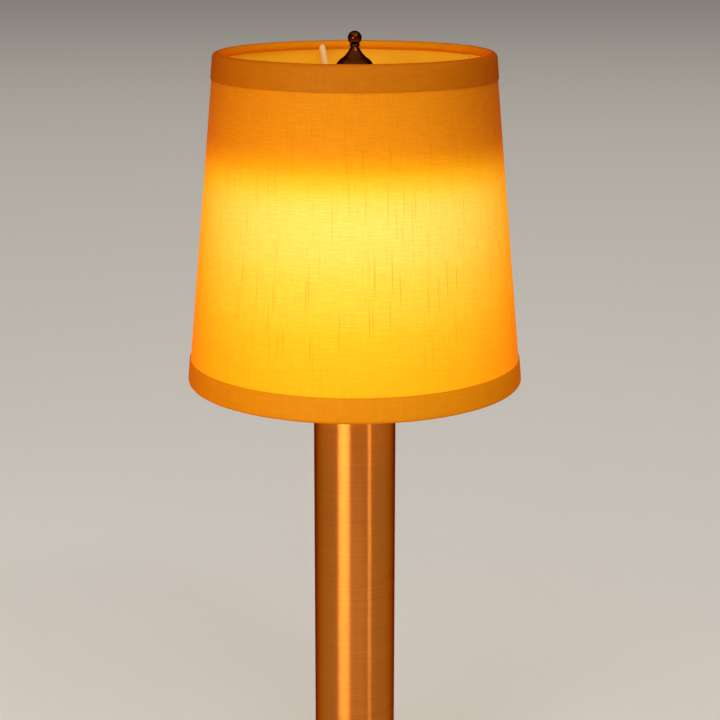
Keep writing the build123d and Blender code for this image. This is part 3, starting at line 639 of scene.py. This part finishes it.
def wrapping_tree():
    """Geometry nodes that wrap an outline round the shade, with its end lapped over its start."""
    tree = bpy.data.node_groups.new("Wrapped cloth", "GeometryNodeTree")
    sockets = [
        ("Outline", "NodeSocketObject"),
        ("Outline Points", "NodeSocketInt"),
        ("Steps Around", "NodeSocketInt"),
        ("Lap Angle", "NodeSocketFloat"),
        ("Lap Share", "NodeSocketFloat"),
        ("Lap Lift", "NodeSocketFloat"),
        ("Unevenness", "NodeSocketFloat"),
        ("Cloth Width", "NodeSocketFloat"),
        ("Cloth Length", "NodeSocketFloat"),
        ("Cloth", "NodeSocketMaterial"),
    ]
    tree.interface.new_socket("Geometry", in_out="INPUT", socket_type="NodeSocketGeometry")
    for label, kind in sockets:
        tree.interface.new_socket(label, in_out="INPUT", socket_type=kind)
    tree.interface.new_socket("Geometry", in_out="OUTPUT", socket_type="NodeSocketGeometry")
    given = tree.nodes.new("NodeGroupInput").outputs

    columns = counted(tree, "ADD", given["Steps Around"], 1)
    sheet_size = {
        "Size X": 1,
        "Size Y": 1,
        "Vertices X": columns,
        "Vertices Y": given["Outline Points"],
    }
    sheet = add_node(tree, "GeometryNodeMeshGrid", sheet_size)
    on_sheet = split(tree, tree.nodes.new("GeometryNodeInputPosition").outputs[0])
    shares = [counted(tree, "ADD", on_sheet[axis], 0.5) for axis in (0, 1)]
    kept = tree.nodes.new("GeometryNodeCaptureAttribute")
    kept.capture_items.new("FLOAT", "Around")
    kept.capture_items.new("FLOAT", "Along")
    tree.links.new(sheet.outputs["Mesh"], kept.inputs[0])
    for number, share in enumerate(shares, 1):
        tree.links.new(share, kept.inputs[number])
    flat_sheet, around, along = kept.outputs[0], kept.outputs[1], kept.outputs[2]

    last = counted(tree, "SUBTRACT", given["Outline Points"], 1)
    number = counted(tree, "ROUND", counted(tree, "MULTIPLY", along, last))
    outline = add_node(tree, "GeometryNodeObjectInfo", {"Object": given["Outline"]})
    sampled = add_node(
        tree, "GeometryNodeSampleIndex", data_type="FLOAT_VECTOR", domain="POINT"
    )
    reading = {
        "Geometry": outline.outputs["Geometry"],
        "Value": tree.nodes.new("GeometryNodeInputPosition").outputs[0],
        "Index": number,
    }
    fill(tree, sampled, reading)
    section = split(tree, sampled.outputs[0])

    turn = counted(tree, "MULTIPLY", around, math.tau)
    angle = counted(tree, "ADD", turn, given["Lap Angle"])
    lap_start = counted(tree, "SUBTRACT", 1, given["Lap Share"])
    lift_start = counted(tree, "SUBTRACT", lap_start, lap_ramp)
    on_lap = spread(tree, around, 0, given["Lap Lift"], lift_start, lap_start)
    lifted = counted(tree, "MULTIPLY", on_lap, counted(tree, "LESS_THAN", around, before_seam))
    direction = joined(tree, counted(tree, "COSINE", angle), counted(tree, "SINE", angle))
    wobble_place = vector_counted(tree, "ADD", direction, sampled.outputs[0])
    wobble = add_node(
        tree, "ShaderNodeTexNoise", {"Vector": wobble_place, "Scale": 6, "Detail": 1}
    ).outputs[0]
    off_middle = counted(tree, "SUBTRACT", wobble, 0.5)
    uneven = counted(tree, "MULTIPLY", off_middle, given["Unevenness"])
    radius = counted(tree, "ADD", counted(tree, "ADD", section[0], lifted), uneven)
    level = counted(tree, "ADD", section[2], uneven)
    flat = add_node(
        tree, "ShaderNodeVectorMath", {0: direction, "Scale": radius}, operation="SCALE"
    ).outputs[0]
    flat_x, flat_y = split(tree, flat)[:2]
    wrapped = add_node(
        tree,
        "GeometryNodeSetPosition",
        {"Geometry": flat_sheet, "Position": joined(tree, flat_x, flat_y, level)},
    )

    map_place = joined(
        tree,
        counted(tree, "MULTIPLY", around, given["Cloth Length"]),
        counted(tree, "MULTIPLY", along, given["Cloth Width"]),
    )
    mapped = add_node(
        tree,
        "GeometryNodeStoreNamedAttribute",
        {"Geometry": wrapped.outputs[0], "Name": "UVMap", "Value": map_place},
        data_type="FLOAT2",
        domain="CORNER",
    )
    closed = add_node(
        tree,
        "GeometryNodeMergeByDistance",
        {"Geometry": mapped.outputs[0], "Distance": same_point},
    )
    smooth = add_node(tree, "GeometryNodeSetShadeSmooth", {"Geometry": closed.outputs[0]})
    bend = tree.nodes.new("GeometryNodeInputMeshEdgeAngle").outputs[0]
    creases = {
        "Geometry": smooth.outputs[0],
        "Selection": counted(tree, "GREATER_THAN", bend, crease_angle),
        "Shade Smooth": False,
    }
    creased = add_node(tree, "GeometryNodeSetShadeSmooth", creases, domain="EDGE")
    realized = add_node(tree, "GeometryNodeRealizeInstances", {"Geometry": creased.outputs[0]})
    covered = add_node(
        tree,
        "GeometryNodeSetMaterial",
        {"Geometry": realized.outputs[0], "Material": given["Cloth"]},
    )
    add_node(tree, "NodeGroupOutput", {0: covered.outputs[0]})
    return tree


wrapped_cloth = wrapping_tree()


def wrap(name, outline, cloth, length, width, lap, lift, unevenness):
    """A closed band of cloth round the shade, as a plain mesh."""
    holder = outline_curve(name + "_outline", outline)
    maker = bpy.data.objects.new(name + "_maker", bpy.data.meshes.new(name + "_maker"))
    bpy.context.scene.collection.objects.link(maker)
    wrapping = maker.modifiers.new("Wrap", "NODES")
    wrapping.node_group = wrapped_cloth
    values = {
        "Outline": holder,
        "Outline Points": len(outline) + 1,
        "Steps Around": steps_around,
        "Lap Angle": lap_angle,
        "Lap Share": lap / length,
        "Lap Lift": lift,
        "Unevenness": unevenness,
        "Cloth Width": width,
        "Cloth Length": length,
        "Cloth": cloth,
    }
    for socket in wrapped_cloth.interface.items_tree:
        if socket.in_out == "INPUT" and socket.name in values:
            wrapping[socket.identifier] = values[socket.name]
    bpy.context.view_layer.update()
    made = maker.evaluated_get(bpy.context.evaluated_depsgraph_get())
    piece = bpy.data.objects.new(name, bpy.data.meshes.new_from_object(made))
    bpy.context.scene.collection.objects.link(piece)
    for spent in (maker, holder):
        bpy.data.objects.remove(spent)
    return piece


rib_waves = 140
rib_waver = 0.18
warp_lines = 1500
warp_waves = 110
rib_weight = 0.55
warp_weight = 0.45
thread_range = (0.3, 0.7)
faintest_slub = 0.35
slub_core = 0.05
slub_edge = 0.18
slub_height = 0.6

slub_weave, given, result = new_group(
    "Slub weave",
    {"Ribs": 1500.0, "Slub Length": 0.06, "Slub Spacing": 0.0012, "Slub Share": 0.38},
    {"Thread": "NodeSocketFloat", "Slub": "NodeSocketFloat", "Height": "NodeSocketFloat"},
)
on_cloth = add_node(slub_weave, "ShaderNodeUVMap", uv_map="UVMap").outputs[0]
round_shade, up_shade = split(slub_weave, on_cloth)[:2]
rib_place = joined(
    slub_weave,
    counted(slub_weave, "MULTIPLY", round_shade, rib_waves),
    counted(slub_weave, "MULTIPLY", up_shade, given["Ribs"]),
)
ribs = add_node(
    slub_weave,
    "ShaderNodeTexNoise",
    {"Vector": rib_place, "Scale": 1, "Detail": 1, "Roughness": 0.5},
).outputs[0]
warp_place = joined(
    slub_weave,
    counted(slub_weave, "MULTIPLY", round_shade, warp_lines),
    counted(slub_weave, "MULTIPLY", up_shade, warp_waves),
)
warp = add_node(
    slub_weave, "ShaderNodeTexNoise", {"Vector": warp_place, "Scale": 1, "Detail": 2}
).outputs[0]
waver = counted(slub_weave, "MULTIPLY", counted(slub_weave, "SUBTRACT", ribs, 0.5), rib_waver)
yarn_number = counted(slub_weave, "DIVIDE", round_shade, given["Slub Spacing"])
slub_place = joined(
    slub_weave,
    counted(slub_weave, "ADD", yarn_number, waver),
    counted(slub_weave, "DIVIDE", up_shade, given["Slub Length"]),
)
slubs = add_node(
    slub_weave,
    "ShaderNodeTexVoronoi",
    {"Vector": slub_place, "Scale": 1},
    voronoi_dimensions="2D",
).outputs
chance = split(slub_weave, slubs["Color"])
chosen = counted(slub_weave, "LESS_THAN", chance[0], given["Slub Share"])
weight = spread(slub_weave, chance[1], faintest_slub, 1)
near_core = spread(slub_weave, slubs["Distance"], 1, 0, slub_core, slub_edge)
slub = counted(slub_weave, "MULTIPLY", counted(slub_weave, "MULTIPLY", near_core, weight), chosen)
rib_part = counted(slub_weave, "MULTIPLY", ribs, rib_weight)
thread = counted(slub_weave, "MULTIPLY_ADD", warp, warp_weight, rib_part)
height = counted(slub_weave, "MULTIPLY_ADD", slub, slub_height, ribs)
slub_weave.links.new(spread(slub_weave, thread, 0, 1, *thread_range), result["Thread"])
slub_weave.links.new(slub, result["Slub"])
slub_weave.links.new(height, result["Height"])

slub_tone = 0.2
slub_shadow = 0.85
silk_bloom = {
    "Coat Weight": 1,
    "Coat Roughness": 1,
    "Coat IOR": 1.06,
    "Coat Tint": (0.96, 0.68, 0.25, 1),
    "Specular IOR Level": 0.2,
    "Emission Strength": 1,
}

# Painted lamp glow through the cloth, darkened a little along thicker threads and slubs.
shade_silk, tree, shader = new_finish("Shade silk")
weave = placed(tree, slub_weave)
lit = placed(tree, painted_lamp_glow, {"Strength": 1})
plain = mixed(tree, weave["Thread"], (0.65, 0.275, 0.009), (0.77, 0.34, 0.015))
slub_darkening = counted(tree, "MULTIPLY", weave["Slub"], slub_tone)
slub_shading = counted(tree, "MULTIPLY", weave["Slub"], slub_shadow)
thread_shade = mixed(tree, weave["Thread"], (0.92, 0.88, 0.78), (1.05, 1.07, 1.12))
shade = mixed(tree, slub_shading, thread_shade, (0.55, 0.34, 0.06))
looks = {
    "Base Color": mixed(tree, slub_darkening, plain, (0.45, 0.14, 0.004)),
    "Roughness": spread(tree, weave["Thread"], 0.66, 0.82),
    "Normal": bumped(tree, weave["Height"], depth=0.0002),
    "Emission Color": mixed(tree, 1, lit["Glow"], shade, "MULTIPLY"),
    "Sheen Weight": 0.05,
    "Sheen Tint": (1, 0.62, 0.22, 1),
}
fill(tree, shader, looks | silk_bloom)

mean_round = math.pi * (shade_top_radius + shade_bottom_radius)
wall_length = math.hypot(shade_height, shade_bottom_radius - shade_top_radius)
wall_run = shade_height - 2 * laminate_setback
outer_wall = [
    wall_point(hem_level, 1, 0, laminate_setback + wall_run * step / wall_steps)
    for step in range(wall_steps + 1)
]
inner_wall = [point - Vector((fabric_thickness, 0, 0)) for point in reversed(outer_wall)]
fabric = wrap(
    "fabric",
    outer_wall + inner_wall,
    shade_silk,
    length=mean_round,
    width=2 * wall_length,
    lap=fabric_lap,
    lift=0,
    unevenness=fabric_unevenness,
)
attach(fabric, "shade")
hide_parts("shade_fabric")

# Bias tapes
# Satin tape folded over each rim and its ring and glued down inside and out. Each tape's end
# is turned in and laps over its start at the right rear.

tape_thickness = 0.00045
tape_outer_height = 0.0115
tape_inner_height = 0.0045
tape_inner_offset = 0.00405
tape_roll_depth = 0.0018
tape_unevenness = 0.00025
liner_face = 0.0009
tape_lap = 0.008
tape_lift = 0.0004
edge_round = 0.00012
crown_steps = 12

crown_half_width = (tape_inner_offset + tape_thickness) / 2
crown_radius = (crown_half_width**2 + tape_roll_depth**2) / (2 * tape_roll_depth)
crown_centre = tape_inner_offset - crown_half_width
crown_reach = math.asin(crown_half_width / crown_radius)


def crown(radius):
    """The tape's turn over the rim, as insets and depths, from outside to inside."""
    turns = [crown_reach * (2 * step / crown_steps - 1) for step in range(crown_steps + 1)]
    return [
        (crown_centre + radius * math.sin(turn), crown_radius - radius * math.cos(turn))
        for turn in turns
    ]


# Each point of the tape's section is an inset from the wall's outer face and a depth from the
# rim: up the outside from the lower edge, over the rim, and down inside to the folded edge.
outer_leg = [
    (0, tape_outer_height),
    (edge_round - tape_thickness, tape_outer_height),
    (-tape_thickness, tape_outer_height - edge_round),
    (-tape_thickness, tape_outer_height * 0.7),
    (-tape_thickness, tape_outer_height * 0.4),
]
inner_leg = [
    (tape_inner_offset * 0.98, tape_inner_height * 0.55),
    (tape_inner_offset * 0.85, tape_inner_height * 0.7),
    (tape_inner_offset * 0.58, tape_inner_height * 0.84),
    (liner_face + tape_thickness * 1.2, tape_inner_height * 0.93),
    (liner_face + tape_thickness * 0.8, tape_inner_height),
    (liner_face, tape_inner_height),
]
folded_back = [
    (liner_face, tape_inner_height * 0.85),
    (tape_inner_offset * 0.5, tape_inner_height * 0.72),
    (tape_inner_offset * 0.78, tape_inner_height * 0.58),
]
section = outer_leg + crown(crown_radius) + inner_leg + folded_back
section += list(reversed(crown(crown_radius - tape_thickness)))

# The tapes carry a weaker share of the painted lamp glow, with painted stray light on their inward
# faces.
tape_glow = 0.4
tape_stray_light = (0.2, 0.12, 0)

tape_satin, tree, shader = new_finish("Tape satin")
weave = placed(tree, slub_weave, {"Ribs": 1600, "Slub Length": 0.02, "Slub Share": 0.1})
lit = placed(tree, painted_lamp_glow, {"Strength": tape_glow})
looks = {
    "Base Color": mixed(tree, weave["Thread"], (0.44, 0.165, 0.003), (0.53, 0.2, 0.006)),
    "Roughness": spread(tree, weave["Thread"], 0.5, 0.7),
    "Normal": bumped(tree, weave["Thread"], depth=0.00005),
    "Emission Color": with_stray_light(tree, lit, tape_stray_light),
}
fill(tree, shader, looks | silk_bloom)

for name, edge, toward in (("top_tape", rim_level, -1), ("bottom_tape", hem_level, 1)):
    outline = [wall_point(edge, toward, inset, depth) for inset, depth in section]
    if toward < 0:
        outline.reverse()
    round_length = math.tau * outline[0].x
    tape_width = 2 * (tape_outer_height + tape_inner_height + 2 * crown_radius * crown_reach)
    tape = wrap(
        name + "_cloth",
        outline,
        tape_satin,
        length=round_length,
        width=tape_width,
        lap=tape_lap,
        lift=tape_lift,
        unevenness=tape_unevenness,
    )
    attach(tape, "shade")
    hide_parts(name)

# Finial and its washer
# Turned from copper and polished, the finial screws down on the rod over a thin washer and
# holds the shade. Its base colour is made far darker than polished copper's, a painted dark
# reflection of unlit surroundings.

copper_painted_dark_reflection = turned(
    "Copper with painted dark reflection",
    light=(0.11, 0.028, 0.004),
    dark=(0.045, 0.01, 0.0015),
    lines=900,
    rough=(0.1, 0.15),
    depth=0.0000005,
    streak=0,
)
give(copper_painted_dark_reflection, "finial", "finial_washer")

# Floor, lights and camera
# The lamp stands on a plain pale floor, under a softbox in front and a broad one overhead. Two
# low ones with grids, at the left and right, draw the highlights on the column, and a small one
# at the upper right draws that on the finial.

floor_half = 60
floor_mesh = bpy.data.meshes.new("floor")
floor_mesh.from_pydata(
    [(x * floor_half, y * floor_half, 0) for x, y in ((-1, -1), (1, -1), (1, 1), (-1, 1))],
    [],
    [(0, 1, 2, 3)],
)
floor = bpy.data.objects.new("floor", floor_mesh)
bpy.context.scene.collection.objects.link(floor)
pale_floor, tree, shader = new_finish("Pale floor")
fill(tree, shader, {"Base Color": (0.82, 0.77, 0.7, 1), "Roughness": 0.85})
floor_mesh.materials.append(pale_floor)

world = bpy.data.worlds.new("Studio")
bpy.context.scene.world = world
world.use_nodes = True
sky = world.node_tree.nodes["Background"]
fill(world.node_tree, sky, {"Color": (1, 0.97, 0.93, 1), "Strength": 0.22})

column_middle = 0.2
finial_middle = 0.37


def softbox(name, azimuth, elevation, distance, size, brightness, fan=180, aim=column_middle):
    """A softbox that faces the lamp, at an azimuth left of the camera and a height angle."""
    turn = math.radians(azimuth)
    rise = math.radians(elevation)
    level_reach = math.cos(rise)
    back = Vector((-math.sin(turn) * level_reach, -math.cos(turn) * level_reach, math.sin(rise)))
    width, height = size
    light = bpy.data.lights.new(name, "AREA")
    light.shape = "RECTANGLE"
    light.size = width
    light.size_y = height
    light.energy = brightness * math.pi * width * height
    light.spread = math.radians(fan)
    holder = bpy.data.objects.new(name, light)
    holder.location = Vector((0, 0, aim)) + back * distance
    holder.rotation_euler = back.to_track_quat("Z", "Y").to_euler()
    holder.visible_camera = False
    bpy.context.scene.collection.objects.link(holder)


softbox("Front softbox", azimuth=-6, elevation=42, distance=1.8, size=(1, 1), brightness=1.9)
softbox(
    "Left softbox",
    azimuth=30,
    elevation=5,
    distance=1.4,
    size=(0.82, 0.55),
    brightness=1.2,
    fan=60,
)
softbox(
    "Right softbox",
    azimuth=-41,
    elevation=0,
    distance=1.2,
    size=(0.16, 0.36),
    brightness=0.6,
    fan=60,
)
softbox("Overhead softbox", azimuth=0, elevation=89, distance=3.5, size=(7, 7), brightness=0.7)
softbox(
    "Finial softbox",
    azimuth=-34,
    elevation=48,
    distance=1,
    size=(0.08, 0.16),
    brightness=0.9,
    fan=30,
    aim=finial_middle,
)

camera_place = (0, -0.8276, 0.44304)
camera_dip = math.radians(14.444)
eye = bpy.data.cameras.new("Camera")
eye.sensor_width = 36
eye.lens = 92.585
eye.shift_x = 0.00732
eye_holder = bpy.data.objects.new("Camera", eye)
eye_holder.location = camera_place
eye_holder.rotation_euler = (math.pi / 2 - camera_dip, 0, 0)
bpy.context.scene.collection.objects.link(eye_holder)
bpy.context.scene.camera = eye_holder
bpy.context.scene.view_settings.view_transform = "Standard"
